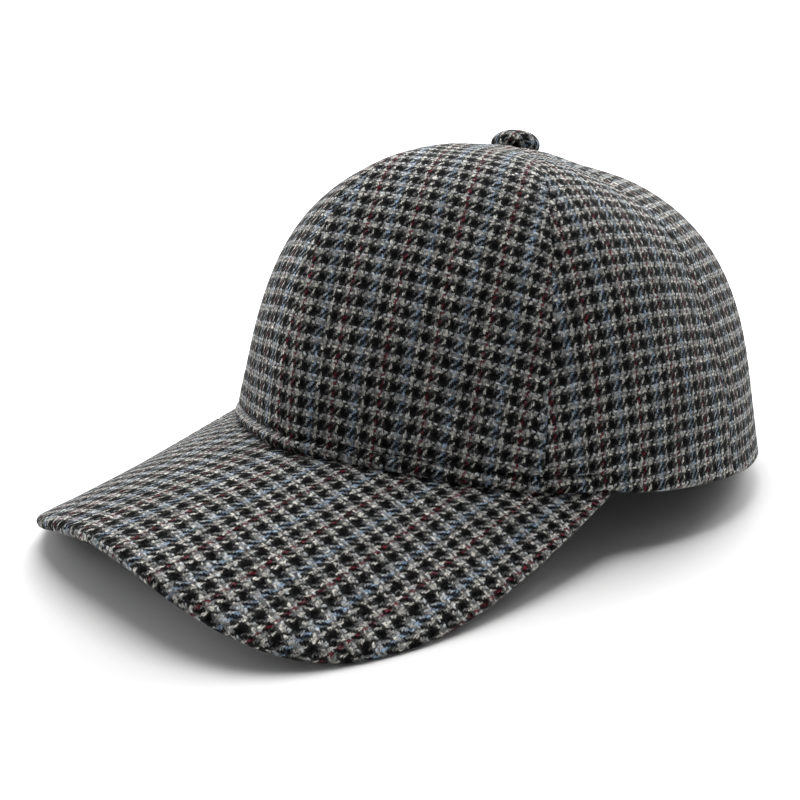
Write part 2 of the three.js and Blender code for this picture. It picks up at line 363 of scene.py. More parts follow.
# %% Sizes of a gore in millimetres
CLOTH = 1.2
FOLDED_CLOTH = 2.1
SEAM_ROLL = 0.28
SEAM_VALLEY = 0.12
SEAM_VALLEY_WIDTH = 2.0
SEAM_CLEAR = 0.015
ALLOWANCE = 8.0
ALLOWANCE_RISE = 0.16
RISE_STARTS = (1.0, 3.0)
RISE_ENDS = (ALLOWANCE - 2, ALLOWANCE + 1.5)
RISE_SQUEEZE = (0.5, 1)
HEM_ROLL = FOLDED_CLOTH / 2
HEM_TURNED_UP = 30.0
TURNED_UP_ENDS = (HEM_TURNED_UP - 0.8, HEM_TURNED_UP + 0.2)
ALLOWANCE_ENDS = (ALLOWANCE - 0.4, ALLOWANCE + 0.2)
STITCH_HEIGHT = 4.6
STITCH_GROOVE = 1.3
STITCH_GROOVE_WIDTH = 0.75
HEM_PUFF = 0.8
GORE_FULLNESS = 1.2
RIDGE = 2.4
RIDGE_BASE = 0.4
RIDGE_REACH = 14.0
RIDGE_POWER = 0.7
RIDGE_FADE = 20.0
CALM_HEM = (4.0, 26.0)
CALM_TIP = (6.0, 26.0)
PEAK_END_FADE = 1.5
TIP_RADIUS = 0.8
UPPER_ROWS = 50
MIDDLE_COLUMNS = 18
FINE_COLUMNS = 65
FINE_ROWS = 500
FINE_CROWDING = 1.3
HALVINGS = 40
SEAM_WIDTH = 11.0
NARROWEST = 2.6 * SEAM_WIDTH

quarter = np.radians([0, 22.5, 45, 67.5, 90])
roll_steps = list(1 - np.cos(quarter))
hem_rows = [HEM_ROLL * step for step in roll_steps]
hem_rows += [1.6, 2.3, 3.0, 3.7, 4.2, 4.6, 5.0, 5.4, 5.8, 6.3, 7.2, 8.5]
hem_rows += [10, 12, 14, 16, 18, 20, 22, 24, 26, 28, 29.2, 29.8, 30.2, 31]
seam_columns = [SEAM_ROLL * step for step in roll_steps]
seam_columns += [1.4, 2.0, 2.7, 3.6, 4.8, 6.2, 7.4, 7.9, 8.3, 9.2, SEAM_WIDTH]
print("a gore has", len(hem_rows) + UPPER_ROWS, "rows from hem to tip")


def roll_under(distance, radius):
    """How far an edge has turned in, this far from where it ends."""
    left = np.clip(1 - distance / radius, 0, 1)
    return radius * (1 - np.sqrt(1 - left**2))


def columns_across(width):
    """Distances from the left seam, close together at both seams."""
    squeeze = np.minimum(1, width / NARROWEST)
    edge = np.array(seam_columns)[None] * squeeze[:, None]
    inner = np.linspace(0, 1, MIDDLE_COLUMNS + 2)[1:-1][None]
    middle = edge[:, -1:] + (width[:, None] - 2 * edge[:, -1:]) * inner
    return np.concatenate([edge, middle, width[:, None] - edge[:, ::-1]], axis=1), squeeze


def climb_for_radius(azimuth, radius):
    """Where the crown comes this close to its middle line, by halving."""
    low, high = 0.0, math.pi / 2
    for _ in range(HALVINGS):
        climb = (low + high) / 2
        x, y, _ = crown_point(np.array(azimuth), np.array(climb))
        low, high = (climb, high) if math.hypot(x, y) > radius else (low, climb)
    return low


def gore_grids(start, end):
    """Azimuth, climb and the distances from both seams and the hem, for each point of a gore."""
    fine_azimuth = np.linspace(start, end, FINE_COLUMNS)
    top = climb_for_radius((start + end) / 2, TIP_RADIUS)
    fine_climb = top * (1 - (1 - np.linspace(0, 1, FINE_ROWS)) ** FINE_CROWDING)
    a, c = np.meshgrid(fine_azimuth, fine_climb)
    height = walk_length(crown_point(a, c))
    hem_part = np.repeat(np.array(hem_rows)[:, None], FINE_COLUMNS, 1)
    upper = np.linspace(0, 1, UPPER_ROWS + 1)[1:, None]
    upper_part = hem_rows[-1] + (height[-1] - hem_rows[-1]) * upper
    wanted = np.concatenate([hem_part, upper_part])
    columns = range(FINE_COLUMNS)
    climb = np.stack([np.interp(wanted[:, k], height[:, k], fine_climb) for k in columns], 1)
    row_azimuth = np.repeat(fine_azimuth[None], len(wanted), 0)
    row_walk = walk_length(crown_point(row_azimuth, climb).transpose(1, 0, 2)).T
    from_left, squeeze = columns_across(row_walk[:, -1] - 2 * SEAM_CLEAR)
    rows = range(len(wanted))
    reach = from_left + SEAM_CLEAR
    azimuth = np.stack([np.interp(reach[r], row_walk[r], fine_azimuth) for r in rows])
    climb = np.stack([np.interp(azimuth[r], fine_azimuth, climb[r]) for r in rows])
    height = np.stack([np.interp(azimuth[r], fine_azimuth, wanted[r]) for r in rows])
    from_seam = np.minimum(from_left, from_left[:, -1:] - from_left)
    return azimuth, climb, height, from_seam, np.repeat(squeeze[:, None], azimuth.shape[1], 1)


def gore_faces(start, end):
    """Outer and inner points of a gore, in mm, and the azimuth and climb of each."""
    azimuth, climb, height, from_seam, squeeze = gore_grids(start, end)
    point = crown_point(azimuth, climb)
    normal = crown_normal(azimuth, climb)
    whole = height[-1:]
    across = (azimuth - start) / (end - start)
    rounded = np.maximum(np.sin(math.pi * height / whole), 0)
    full = GORE_FULLNESS * (np.sin(math.pi * across) - 0.5) * rounded
    from_front = np.linalg.norm(point[..., :2], axis=-1) * np.abs(azimuth)
    ridge = (RIDGE * np.exp(-from_front / RIDGE_REACH) - RIDGE_BASE) * rounded**RIDGE_POWER
    turn = np.abs(np.degrees(azimuth))
    front = 1 - smooth(turn, RIDGE_FADE, FRONT_SEAM)
    full = full * (1 - front) + ridge * front
    calm = smooth(height, *CALM_HEM) * smooth(whole - height, *CALM_TIP)
    point = point + normal * (full + dents(point) * calm)[..., None]
    over_peak = 1 - smooth(turn, PEAK_END - PEAK_END_FADE, PEAK_END + PEAK_END_FADE)
    groove = STITCH_GROOVE * np.exp(-(((height - STITCH_HEIGHT) / STITCH_GROOVE_WIDTH) ** 2))
    puff = HEM_PUFF * np.sin(math.pi * np.clip(height / STITCH_HEIGHT, 0, 1))
    hem_turn = roll_under(height, HEM_ROLL)
    seam_turn = roll_under(from_seam, SEAM_ROLL * squeeze)
    valley = SEAM_VALLEY * squeeze * np.exp(-((from_seam / SEAM_VALLEY_WIDTH) ** 2))
    lifted = smooth(from_seam, *RISE_STARTS) * (1 - smooth(from_seam, *RISE_ENDS))
    lift = ALLOWANCE_RISE * lifted * smooth(squeeze, *RISE_SQUEEZE)
    depth = hem_turn + seam_turn + valley - lift + over_peak * (groove - puff)
    outer = point - normal * depth[..., None]
    turned_up = 1 - smooth(height, *TURNED_UP_ENDS)
    allowance = 1 - smooth(from_seam, *ALLOWANCE_ENDS)
    thick = CLOTH + (FOLDED_CLOTH - CLOTH) * np.maximum(turned_up, allowance)
    inner = point - normal * (thick - hem_turn)[..., None]
    inner[0] = outer[0]
    return outer, inner, azimuth, climb


# %% [markdown]
# ## From a grid to a closed cloth
#
# The outer face, the inner face and a strip along the two seams and the top make one closed shell.
# The hem needs no strip, because both faces end on the same fold. A bmesh could be built vertex by
# vertex; arrays are quicker and shorter.

# %% From a grid to a closed cloth
def grid_quads(number, flip=False):
    """Four corners for each square of a grid of vertex numbers."""
    corners = (number[:-1, :-1], number[:-1, 1:], number[1:, 1:], number[1:, :-1])
    if flip:
        corners = corners[::-1]
    return np.stack([corner.ravel() for corner in corners], 1)


def closed_numbers(rings, sides):
    """Vertex numbers of rings of points, with the first of each ring again at its end."""
    number = np.arange(rings * sides).reshape(rings, sides)
    return np.concatenate([number, number[:, :1]], axis=1)


def rings_round(radius, height, turn):
    """Rings of points round the upright axis, one for each height."""
    heights = np.repeat(height[:, None], len(turn), 1)
    return np.stack([radius * np.cos(turn), radius * np.sin(turn), heights], -1)


def joined(*grids):
    """One list of faces. A square with two corners on one point becomes a triangle."""
    return [list(dict.fromkeys(quad)) for quad in np.concatenate(grids).tolist()]


def new_object(name, points, edges, faces):
    """An object in the scene, with its place in its mesh's points, in metres, and smooth faces."""
    mesh = bpy.data.meshes.new(name)
    mesh.from_pydata(points.reshape(-1, 3).tolist(), edges, faces)
    mesh.polygons.foreach_set("use_smooth", [True] * len(faces))
    mesh.update()
    made = bpy.data.objects.new(name, mesh)
    bpy.context.scene.collection.objects.link(made)
    return made


def cloth_object(name, points, faces, threads):
    """A piece of the cap from points in mm, with thread counts as its UV map."""
    piece = new_object(name, to_world(points), [], faces)
    layer = piece.data.uv_layers.new(name="threads")
    corner_vertex = np.zeros(len(piece.data.loops), dtype=np.int32)
    piece.data.loops.foreach_get("vertex_index", corner_vertex)
    layer.data.foreach_set("uv", threads[corner_vertex].astype(np.float32).ravel())
    print(name, "has", len(faces), "faces")
    return piece


def gore_threads(start, end, azimuth, climb, cut):
    """Thread counts of each point, through the gore's flattened net."""
    middle = (start + end) / 2
    top = climb_for_radius(middle, TIP_RADIUS)
    fine = np.linspace(0, top, NET_WALK)
    walked = walk_length(crown_point(np.full(NET_WALK, middle), fine))
    net_climb = np.interp(np.linspace(0, walked[-1], NET_ROWS), walked, fine)
    net_azimuth = np.linspace(start, end, NET_COLUMNS)
    flat = flat_net(crown_point(*np.meshgrid(net_azimuth, net_climb)))
    column = (azimuth - start) / (end - start) * (NET_COLUMNS - 1)
    row = np.interp(climb, net_climb, np.arange(NET_ROWS))
    i = np.clip(row.astype(int), 0, NET_ROWS - 2)
    j = np.clip(column.astype(int), 0, NET_COLUMNS - 2)
    v, u = (row - i)[..., None], (column - j)[..., None]
    low = flat[i, j] * (1 - u) + flat[i, j + 1] * u
    high = flat[i + 1, j] * (1 - u) + flat[i + 1, j + 1] * u
    place = low * (1 - v) + high * v
    return thread_count(place[..., 0], place[..., 1], cut)


def make_gore(name, start_degrees, end_degrees, cut):
    """One gore between two seams, as a closed piece of cloth."""
    start, end = math.radians(start_degrees), math.radians(end_degrees)
    outer, inner, azimuth, climb = gore_faces(start, end)
    rows, columns = azimuth.shape
    count = rows * columns
    out_number = np.arange(count).reshape(rows, columns)
    in_number = out_number + count
    in_number[0] = out_number[0]
    rim = [
        grid_quads(np.stack([in_number[:, 0], out_number[:, 0]], 1)),
        grid_quads(np.stack([out_number[:, -1], in_number[:, -1]], 1)),
        grid_quads(np.stack([out_number[-1], in_number[-1]], 0)),
    ]
    faces = joined(grid_quads(out_number), grid_quads(in_number, flip=True), *rim)
    threads = gore_threads(start, end, azimuth, climb, cut).reshape(-1, 2)
    points = np.concatenate([outer.reshape(-1, 3), inner.reshape(-1, 3)])
    return cloth_object(name, points, faces, np.concatenate([threads, threads]))


# %% The eight gores
crown_pieces = {}
for node, start_degrees, end_degrees, cut in GORES:
    crown_pieces[node] = make_gore("cloth_" + node, start_degrees, end_degrees, cut)

# %% [markdown]
# ## The peak
#
# The peak is a stiff board bent across, more at its lip than at its root, with the same cloth drawn
# over both faces and turned in along the lip. It could be a plane with Curve and Solidify
# modifiers. It is built from loops round its section instead, from the right end to the left, so
# that the lip is truly round and the cloth's threads can be counted along the bent face.

# %% The peak's sizes in millimetres
PEAK_COLUMNS = 200
PEAK_ROWS = 44
PEAK_EDGE = 1.8
LIP_STEPS = 12
PEAK_TUCK = 2.0
EDGE_RIDGE = 0.16
EDGE_RIDGE_WIDTH = 7.0
EDGE_RIDGE_STEP = (0.75, 1.15)
EDGE_RIDGE_STARTS = (4, 20)
NARROW_EDGE = 0.4
PEAK_CUT = cloth_cut(BLUE_THREAD, 0.5, 0.6 / WEFT_PITCH)
PEAK_PULL = 7.0
PEAK_PULL_REACH = 45.0
PEAK_BOW = 3.2
PEAK_BOW_REACH = 28.0
SLOPE_STEP = 0.01
STEEPEST = 0.97
LIP_WALK = 4000


def lip_plan(turn):
    """The lip in plan: a squared half oval."""
    end = hem_plan(math.radians(PEAK_END))
    bow = 2 / PEAK_SQUARENESS
    x = end[0] * np.sign(np.cos(turn)) * np.abs(np.cos(turn)) ** bow
    y = end[1] - PEAK_REACH * np.abs(np.sin(turn)) ** bow
    return np.stack([x, y], -1)


def inset_plan(azimuth, depth):
    """The hem's plan, moved in by a depth."""
    before, after = hem_plan(azimuth - TURN_STEP), hem_plan(azimuth + TURN_STEP)
    inward = np.stack([before[..., 1] - after[..., 1], after[..., 0] - before[..., 0]], -1)
    return hem_plan(azimuth) + inward / np.linalg.norm(inward, axis=-1, keepdims=True) * depth


def peak_normal(x, y, step=SLOPE_STEP):
    """Which way the peak's upper face looks above a point of the plan."""
    slope_x = (peak_top(x + step, y) - peak_top(x - step, y)) / (2 * step)
    slope_y = (peak_top(x, y + step) - peak_top(x, y - step)) / (2 * step)
    normal = np.stack([-slope_x, -slope_y, np.ones_like(x)], -1)
    return normal / np.linalg.norm(normal, axis=-1, keepdims=True)


def peak_threads(x, y, cut):
    """Thread counts above a point of the plan: true lengths across the bend and fore and aft."""
    ahead = -FRONT_REACH - y
    bend = PEAK_BEND + PEAK_BEND_GROWTH * ahead
    across = np.arcsin(np.clip(bend * x, -STEEPEST, STEEPEST)) / bend
    bow = PEAK_BOW * np.exp(-((across / PEAK_BOW_REACH) ** 2))
    along = -ahead / math.cos(math.radians(PEAK_SLOPE)) - bow
    across = across - PEAK_PULL * np.tanh(across / PEAK_PULL_REACH)
    return thread_count(across, along, cut)


print("the peak is", round(float(2 * lip_plan(0.0)[0])), "mm wide and", PEAK_REACH, "mm long")

# %% Making the peak
turns = np.linspace(math.pi, 0, LIP_WALK)
lip_walk = walk_length(lip_plan(turns))
even = np.linspace(0, lip_walk[-1], PEAK_COLUMNS + 1)
lip = lip_plan(np.interp(even, lip_walk, turns))
root = inset_plan(np.radians(PEAK_END) * np.linspace(-1, 1, PEAK_COLUMNS + 1), PEAK_TUCK)
width = np.linalg.norm(lip - root, axis=1)
edge = np.minimum(PEAK_EDGE, NARROW_EDGE * width)
outward = (lip - root) / width[:, None]

share = np.linspace(0, 1, PEAK_ROWS + 1)
flat_part = share[None] * (width - edge)[:, None]
swing = np.linspace(0, math.pi, LIP_STEPS + 1)[1:-1]
lip_reach = (width - edge)[:, None] + edge[:, None] * np.sin(swing)[None]
lip_depth = PEAK_THICKNESS / 2 * (1 - np.cos(swing))[None].repeat(len(width), 0)
reach = np.concatenate([flat_part, lip_reach, flat_part[:, ::-1]], axis=1)
depth = np.concatenate(
    [np.zeros_like(flat_part), lip_depth, np.full_like(flat_part, PEAK_THICKNESS)], axis=1
)
plan = root[:, None] + outward[:, None] * reach[..., None]
x, y = plan[..., 0], plan[..., 1]
normal = peak_normal(x, y)
points = np.concatenate([plan, peak_top(x, y)[..., None]], -1)
from_lip = (width[:, None] - reach) / EDGE_RIDGE_WIDTH
long_enough = smooth(width[:, None], *EDGE_RIDGE_STARTS)
ridge = EDGE_RIDGE * (1 - smooth(from_lip, *EDGE_RIDGE_STEP)) * long_enough
outer_side = np.where(depth < PEAK_THICKNESS / 2, 1, -1)
points = points + normal * (ridge * outer_side - depth)[..., None]

# Round the lip the cloth runs on by its own length.
round_lip = flat_part[:, -1:] + PEAK_THICKNESS / 2 * swing[None]
cloth_reach = np.concatenate([flat_part, round_lip, flat_part[:, ::-1]], axis=1)
cloth = root[:, None] + outward[:, None] * cloth_reach[..., None]
threads = peak_threads(cloth[..., 0], cloth[..., 1], PEAK_CUT)

loops, around = depth.shape
number = closed_numbers(loops, around)
half = around // 2 + 1
right, left = number[0, :around], number[-1, :around]
caps = [
    grid_quads(np.stack([right[:half], right[::-1][:half]], 0), flip=True),
    grid_quads(np.stack([left[:half], left[::-1][:half]], 0)),
]
faces = joined(grid_quads(number), *caps)
peak = cloth_object("cloth_peak", points, faces, threads.reshape(-1, 2))

# %% [markdown]
# ## The button
#
# A small metal or card shell with cloth drawn over it and gathered underneath. A squashed sphere
# would lack the gathers, so its profile is turned round a full circle with a ripple that grows
# towards the foot.

# %% The button
BUTTON_RADIUS = 8.5
BUTTON_HEIGHT = 6.6
BUTTON_WAIST = 0.3
BUTTON_FOOT = 0.93
BUTTON_DOME = 0.9
BUTTON_SUNK = 0.3
BUTTON_FOOT_RINGS = 7
BUTTON_SIDES = 96
BUTTON_RINGS = 18
GATHERS = 13
GATHER_DEPTH = 0.22
GATHER_UNEVEN = 0.6
GATHERS_FROM_MIDDLE = (0.55, 1)
GATHERS_BELOW = (BUTTON_HEIGHT * 0.45, BUTTON_HEIGHT * 0.8)
BUTTON_CUT = cloth_cut(4.5, 0, 2.5)

climb = np.linspace(math.pi / 2, 0, BUTTON_RINGS)
waist = BUTTON_HEIGHT * BUTTON_WAIST
radius = list(BUTTON_RADIUS * np.cos(climb) ** BUTTON_DOME)
height = list(waist + (BUTTON_HEIGHT - waist) * np.sin(climb))
under = np.linspace(0, math.pi / 2, BUTTON_FOOT_RINGS)[1:]
radius += list(BUTTON_RADIUS * (BUTTON_FOOT + (1 - BUTTON_FOOT) * np.cos(under)))
height += list(waist * (1 - np.sin(under)))
radius, height = np.array(radius[1:]), np.array(height[1:])
turn = np.linspace(0, 2 * math.pi, BUTTON_SIDES, endpoint=False)
ripple = np.sin(GATHERS * turn + GATHER_UNEVEN * np.sin(3 * turn))[None]
ripple = ripple * smooth(radius / BUTTON_RADIUS, *GATHERS_FROM_MIDDLE)[:, None]
low = smooth(BUTTON_HEIGHT - height, *GATHERS_BELOW)[:, None]
ring_radius = radius[:, None] + GATHER_DEPTH * ripple * low
base = CROWN_HEIGHT + TIP_RISE - BUTTON_SUNK
points = rings_round(ring_radius, height + base, turn)
walk = np.concatenate([[0], np.cumsum(np.hypot(np.diff(radius), np.diff(height)))]) + radius[0]
threads = thread_count(walk[:, None] * np.cos(turn), walk[:, None] * np.sin(turn), BUTTON_CUT)
rings = len(radius)
number = closed_numbers(rings, BUTTON_SIDES)
tip, foot = rings * BUTTON_SIDES, rings * BUTTON_SIDES + 1
ends = [[0, 0, base + BUTTON_HEIGHT], [0, 0, base]]
all_points = np.concatenate([points.reshape(-1, 3), ends])
end_threads = thread_count(np.zeros(2), np.zeros(2), BUTTON_CUT)
all_threads = np.concatenate([threads.reshape(-1, 2), end_threads])
faces = grid_quads(number, flip=True).tolist()
upper, lower = number[0].tolist(), number[-1].tolist()
faces += [[tip, upper[k], upper[k + 1]] for k in range(BUTTON_SIDES)]
faces += [[foot, lower[k + 1], lower[k]] for k in range(BUTTON_SIDES)]
button = cloth_object("cloth_button", all_points, faces, all_threads)

# %% [markdown]
# ## Shader maths as Python
#
# A weave is arithmetic on thread counts. Wired by hand it would be over a hundred nodes with no
# explanation. This small class wraps a socket, so that a + b or a * 2 adds the Math node that
# does it, and the material below reads like its own description.

# %% Shader maths as Python
class Wire:
    """An output socket, or anything that a Math node can take."""

    def __init__(self, tree, socket):
        self.tree, self.socket = tree, socket

    def node(self, kind, inputs, settings=None, output=0):
        """Add any node: its settings first, and then the values or links of its sockets."""
        made = self.tree.nodes.new(kind)
        for name, value in (settings or {}).items():
            setattr(made, name, value)
        for name, value in inputs.items():
            if isinstance(value, Wire):
                self.tree.links.new(value.socket, made.inputs[name])
            else:
                made.inputs[name].default_value = value
        return Wire(self.tree, made.outputs[output])

    def sibling(self, output):
        """Another output of the same node."""
        return Wire(self.tree, self.socket.node.outputs[output])

    def feeds(self, socket):
        """Link this to an input of another node."""
        self.tree.links.new(self.socket, socket)

    def xyz(self, x, y, z):
        return self.node("ShaderNodeCombineXYZ", {"X": x, "Y": y, "Z": z})

    def grey(self, value):
        """A colour with this value in all three channels."""
        return self.node("ShaderNodeCombineColor", {"Red": value, "Green": value, "Blue": value})

    def noise(self, place, scale=1.0, detail=2.0, output=0):
        inputs = {"Vector": place, "Scale": scale, "Detail": detail}
        return self.node("ShaderNodeTexNoise", inputs, output=output)

    def mix(self, factor, first, second, blend="MIX"):
        """Two colours, mixed by a factor."""
        settings = {"data_type": "RGBA", "blend_type": blend}
        return self.node("ShaderNodeMix", {0: factor, 6: first, 7: second}, settings, output=2)

    def math(self, operation, *others):
        """A Math node with this as its first value."""
        values = dict(enumerate((self, *others)))
        return self.node("ShaderNodeMath", values, {"operation": operation})

    def __rsub__(self, other):
        return self.node("ShaderNodeMath", {0: other, 1: self}, {"operation": "SUBTRACT"})

    __add__ = partialmethod(math, "ADD")
    __sub__ = partialmethod(math, "SUBTRACT")
    __mul__ = partialmethod(math, "MULTIPLY")
    __truediv__ = partialmethod(math, "DIVIDE")
    __gt__ = partialmethod(math, "GREATER_THAN")
    floor = partialmethod(math, "FLOOR")
    modulo = partialmethod(math, "FLOORED_MODULO")
    cosine = partialmethod(math, "COSINE")
    size = partialmethod(math, "ABSOLUTE")
    at_least = partialmethod(math, "MAXIMUM")

    def ramp(self, low, high):
        """0 below low, 1 above high, with a soft step between."""
        inputs = {"Value": self, "From Min": low, "From Max": high}
        settings = {"interpolation_type": "SMOOTHSTEP"}
        return self.node("ShaderNodeMapRange", inputs, settings)


# %% [markdown]
# ## The tweed
#
# Real tweed could be faked with a checker texture. It would look right only from far away: the
# charm of the cloth is in the toothed edges of its blocks, which come from the threads crossing.
# So the material works out, at each point, which warp and which weft thread are there, how high
# each one stands, and shows the higher one. The same heights make the bump.
#
# The yarns of one repeat are read from a colour ramp with one stop for each run of like threads.
# The yarns are hand-spun: thick and thin by turns, with pale fibres in the dark ones and dark
# ones in the pale. The blue and the red stripe come and go along their threads.

# %% The yarns
BLACK = (0.0025, 0.0025, 0.003)
GREY = (0.155, 0.158, 0.158)
CREAM = (0.64, 0.625, 0.575)
MIST = (0.47, 0.50, 0.52)
STONE = (0.35, 0.35, 0.34)
SLATE = (0.07, 0.07, 0.07)
SILVER = (0.57, 0.595, 0.605)
BLUE = (0.30, 0.42, 0.57)
RED = (0.150, 0.012, 0.026)
PALE_FIBRE = (0.30, 0.29, 0.27)
DARK_FIBRE = (0.006, 0.006, 0.007)

# Each yarn starts at this thread of the repeat. The warp's halves differ in their last four.
WARP_YARNS = (
    *((0, GREY), (2, CREAM), (4, BLACK), (8, GREY), (10, CREAM), (12, RED)),
    *((14, GREY), (16, CREAM), (18, BLACK), (22, GREY), (24, MIST), (26, BLUE)),
)
WEFT_YARNS = ((0, SILVER), (1, BLACK), (5, SLATE), (6, CREAM), (7, STONE))


def yarn_ramp(number, yarns, count, soft=False):
    """The colour of a thread from its number in the repeat, or softly mixed with its neighbours."""
    made = number.tree.nodes.new("ShaderNodeValToRGB")
    ramp = made.color_ramp
    ramp.interpolation = "EASE" if soft else "CONSTANT"
    ends = [first for first, _ in yarns[1:]] + [count]
    for k, (first, colour) in enumerate(yarns):
        at = (first + ends[k]) / 2 / count if soft else first / count
        stop = ramp.elements[k] if k < 2 else ramp.elements.new(at)
        stop.position = at
        stop.color = (*colour, 1)
    (number.modulo(count) / count).feeds(made.inputs["Fac"])
    return Wire(number.tree, made.outputs["Color"])


def new_material(name, values):
    """A material with nodes, its tree and its shader, with these values of the shader set."""
    material = bpy.data.materials.new(name)
    material.use_nodes = True
    shader = material.node_tree.nodes["Principled BSDF"]
    for label, value in values.items():
        shader.inputs[label].default_value = value
    return material, material.node_tree, shader


print("the check repeats every", WARP_THREADS, "warp and", WEFT_THREADS, "weft threads")

# %% The weave
TWILL = 4
TWILL_START = 2.5
WAVE = 0.62
ROUND = 0.42
WANDER = ((55.0, (2.4, 2.4, 0)), (620.0, (3.4, 2.4, 0)))
STREAKS_ACROSS = 6.0
STREAKS_ALONG = 1.3
STREAK_SLANT = 1.6
SLUB_ACROSS = 3.7
SLUB_ALONG = 0.4
FIBRE_LEAD = 0.9
SLUB_LEAD = 0.8
THICK_PICK = 0.3
THICK_PICK_MIDDLE = 3.0
THICK_PICK_ENDS = (2.0, 3.0)
LEAD_BLUR = 0.38


def weave(start, place):
    """Which threads are at a point, how high they stand and which one shows."""
    threads = start.node("ShaderNodeUVMap", {}, {"uv_map": "threads"})
    # Handled and steamed threads wander a little, over centimetres and over millimetres.
    for scale, reach in WANDER:
        inputs = {0: start.noise(place, scale, output="Color"), 1: (0.5, 0.5, 0.5)}
        aside = start.node("ShaderNodeVectorMath", inputs, {"operation": "SUBTRACT"})
        inputs = {0: aside, 1: reach, 2: threads}
        threads = start.node("ShaderNodeVectorMath", inputs, {"operation": "MULTIPLY_ADD"})
    warp = start.node("ShaderNodeSeparateXYZ", {"Vector": threads})
    weft = warp.sibling("Y")
    warp_number, weft_number = warp.floor(), weft.floor()

    # Each thread waves over two and under two, and its section is round.
    turn = 2 * math.pi / TWILL
    warp_wave = ((warp_number - weft + TWILL_START) * turn).cosine()
    weft_wave = ((warp - weft_number + TWILL_START) * turn).cosine() * -1.0
    warp_side = (warp - warp_number - 0.5) * 2.0
    weft_side = (weft - weft_number - 0.5) * 2.0
    warp_height = warp_wave * WAVE - warp_side * warp_side * ROUND
    weft_height = weft_wave * WAVE - weft_side * weft_side * ROUND

    # Fibres are fine streaks along each thread, which also fray the edge between two threads. The
    # third number of each place only keeps one noise apart from the others.
    slant = warp * STREAK_SLANT
    streaks = start.xyz(warp * STREAKS_ACROSS, weft * STREAKS_ALONG + slant, 0.0)
    warp_fibre = start.noise(streaks)
    streaks = start.xyz(warp * STREAKS_ALONG, weft * STREAKS_ACROSS + slant, 9.0)
    weft_fibre = start.noise(streaks)
    # A thick place in a yarn covers more than a thin one, and so do the thick black weft threads.
    slubs = start.xyz(warp_number * SLUB_ACROSS, weft * SLUB_ALONG, 0.0)
    warp_slub = start.noise(slubs, detail=1.0)
    slubs = start.xyz(warp * SLUB_ALONG, weft_number * SLUB_ACROSS, 5.5)
    weft_slub = start.noise(slubs, detail=1.0)
    from_black = (weft_number.modulo(WEFT_THREADS) - THICK_PICK_MIDDLE).size()
    thick_pick = 1.0 - from_black.ramp(*THICK_PICK_ENDS)

    lead = warp_height - weft_height + (warp_fibre - weft_fibre) * FIBRE_LEAD
    lead = lead + (warp_slub - weft_slub) * SLUB_LEAD - thick_pick * THICK_PICK
    return {
        "warp": warp,
        "weft": weft,
        "warp_number": warp_number,
        "weft_number": weft_number,
        "warp_slub": warp_slub,
        "weft_slub": weft_slub,
        "fibres": warp_fibre + weft_fibre,
        "height": warp_height.at_least(weft_height),
        "warp_shows": lead.ramp(-LEAD_BLUR, LEAD_BLUR),
    }


# %% The colour of the cloth
NAP = 0.10
DYE_ACROSS = 5.1
DYE_ALONG = 0.45
DYE_TAKEN = (0.36, 0.58)
FADED = 0.5
STRIPE_FROM = 12.0
TUFTS = 1.1
TUFT_EDGE = (0.38, 0.62)
FLECKS = 2.3
PALE_FLECK = (0.56, 0.78)
PALE_SHARE = 0.08
DARK_FLECK = (0.45, 0.68)
DARK_SHARE = 0.8
GAP_HEIGHTS = (-0.15, 0.55)
GAP_DEPTH = 0.25
WORN_SCALE = 120.0
WORN = 0.5
SLUB_EDGE = (0.32, 0.68)
SLUB_PALER = 1.1
SLUB_DARKEST = 0.45


